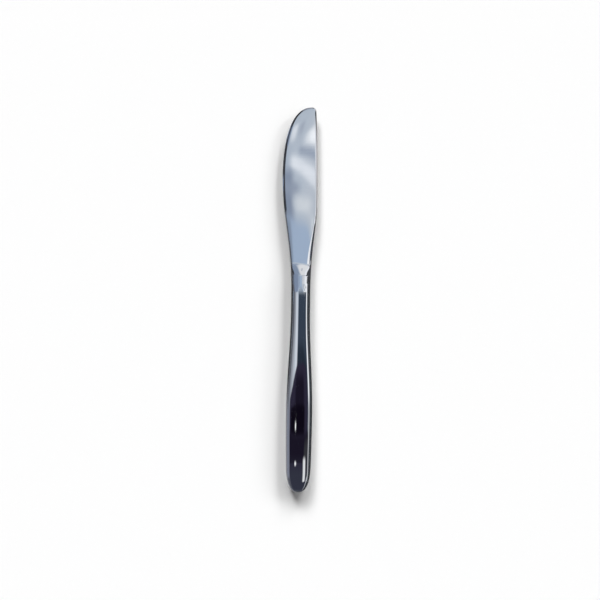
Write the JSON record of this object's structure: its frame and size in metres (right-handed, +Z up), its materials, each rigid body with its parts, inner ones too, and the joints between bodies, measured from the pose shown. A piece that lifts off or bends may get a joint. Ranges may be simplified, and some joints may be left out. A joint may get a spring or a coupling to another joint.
{
  "type": "butter knife",
  "caption": "Polished stainless-steel table knife with a round-nosed, lightly bevelled blade, a slim neck and a smooth hollow handle that swells to a rounded butt.",
  "frame": {"origin": "on the surface that the knife lies on, under the middle of its bounding box", "axes": "+Y along the knife from butt to tip, +X from the cutting edge to the spine, +Z up from the surface that it lies on"},
  "size_m": [0.019, 0.21, 0.007],
  "materials": {
    "blade_steel": "polished",
    "handle_steel": "polished",
    "braze": "polished",
    "solder": "polished",
    "cement": "matte"
  },
  "bodies": {
    "root": {"blade": "blade_steel", "handle_front_shell": "handle_steel", "handle_back_shell": "handle_steel", "handle_seam_braze": "braze", "mouth_solder": "solder", "handle_cement": "cement"}
  },
  "joints": []
}
